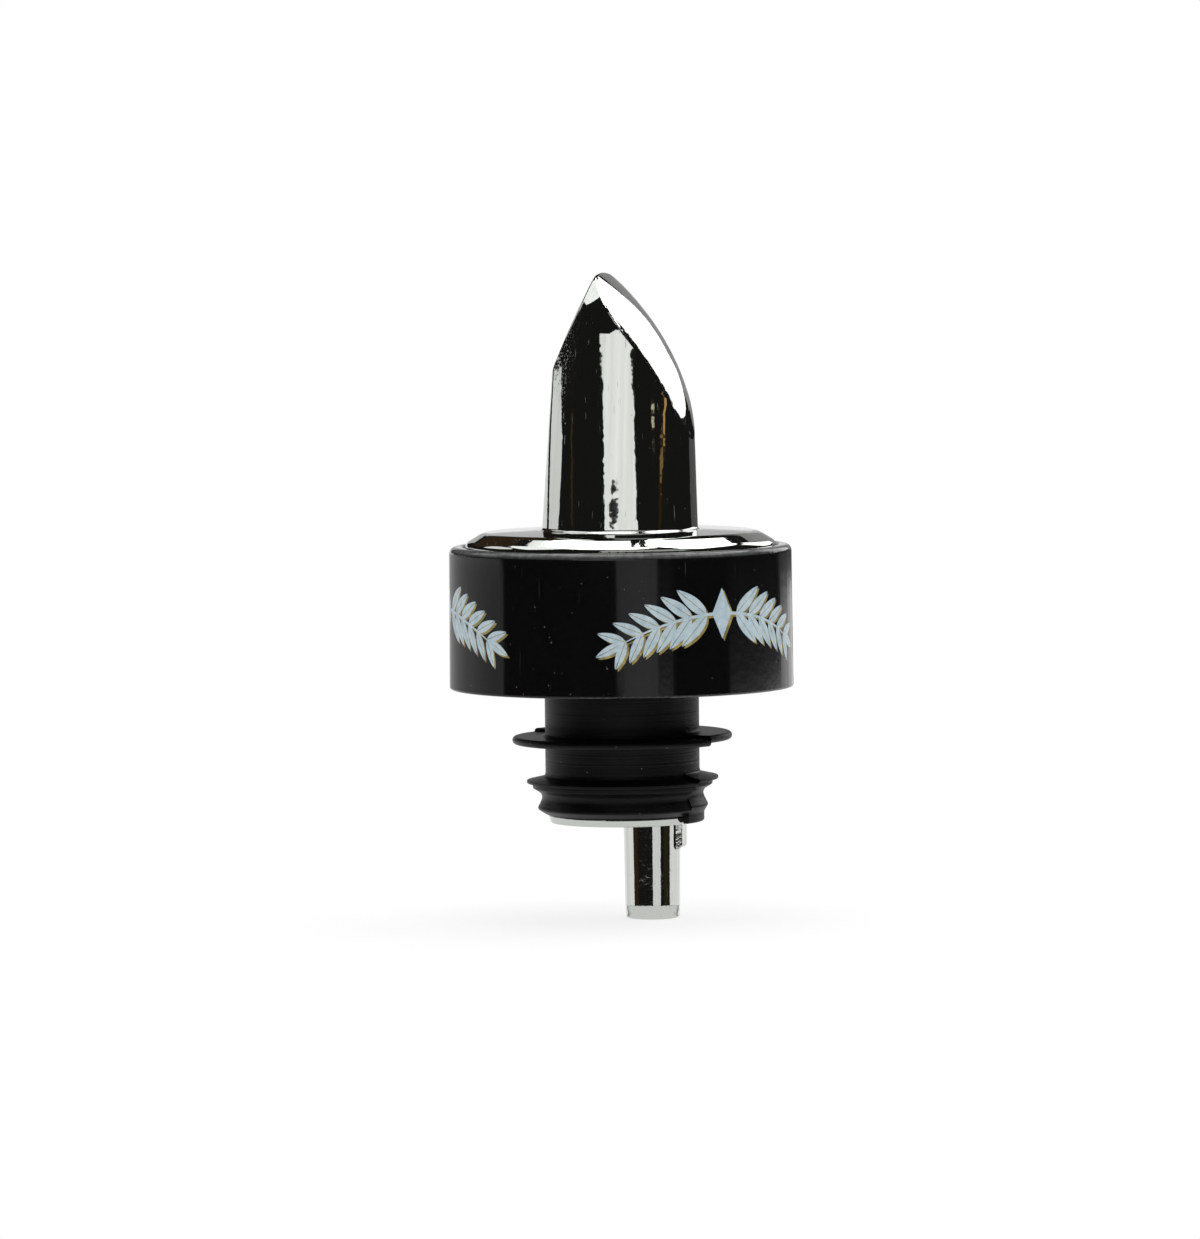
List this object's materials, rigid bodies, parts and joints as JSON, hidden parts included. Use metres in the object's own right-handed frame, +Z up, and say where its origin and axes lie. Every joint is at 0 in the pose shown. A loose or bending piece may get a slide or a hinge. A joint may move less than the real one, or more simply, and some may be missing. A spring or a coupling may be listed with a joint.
{
  "type": "measured liquor pourer",
  "caption": "Measured liquor pourer: chromed slanted spout with a ball portion valve, loose black collar, finned rubber bottle stopper and a downward breather tube.",
  "frame": {"origin": "on the stopper's axis, in the plane of the bottle's lip, which is the underside of the stopper's head and of the collar", "axes": "+Z up the axis towards the spout's tip, -X towards the mouth, +X towards the breather tube, Y across"},
  "size_m": [0.038, 0.038, 0.0713],
  "materials": {
    "chromed_abs": "polished",
    "black_abs": "gloss",
    "black_rubber": "matte",
    "clear_polycarbonate": "gloss",
    "white_acetal": "satin",
    "seal_rubber": "matte",
    "ball_steel": "polished"
  },
  "bodies": {
    "pourer": {"spout_cap": "chromed_abs", "stopper": "black_rubber", "inlet_stem": "chromed_abs", "ball_race": "clear_polycarbonate", "metering_plug": "white_acetal", "outlet_plate": "white_acetal", "valve_seat": "seal_rubber", "vent_tube": "clear_polycarbonate", "spigot_seal": "seal_rubber", "outlet_seal": "seal_rubber"},
    "collar": {"collar": "black_abs"},
    "shutoff_ball": {"shutoff_ball": "ball_steel"},
    "middle_ball": {"middle_ball": "ball_steel"},
    "tail_ball": {"tail_ball": "ball_steel"}
  },
  "joints": [
    {"name": "shutoff_ball_run", "type": "slide", "parent": "pourer", "child": "shutoff_ball", "axis": [0, 0, 1], "range_m": [0, 0.01525]},
    {"name": "middle_ball_run", "type": "slide", "parent": "pourer", "child": "middle_ball", "axis": [0, 0, 1], "range_m": [0, 0.01525]},
    {"name": "tail_ball_run", "type": "slide", "parent": "pourer", "child": "tail_ball", "axis": [0, 0, 1], "range_m": [0, 0.01525]},
    {"name": "collar_turn", "type": "hinge", "parent": "pourer", "child": "collar", "pos_m": [0, 0, 0], "axis": [0, 0, 1], "continuous": true}
  ],
  "couplings": [
    {"joint": "middle_ball_run", "follows": "shutoff_ball_run", "ratio": 1},
    {"joint": "tail_ball_run", "follows": "shutoff_ball_run", "ratio": 1}
  ]
}
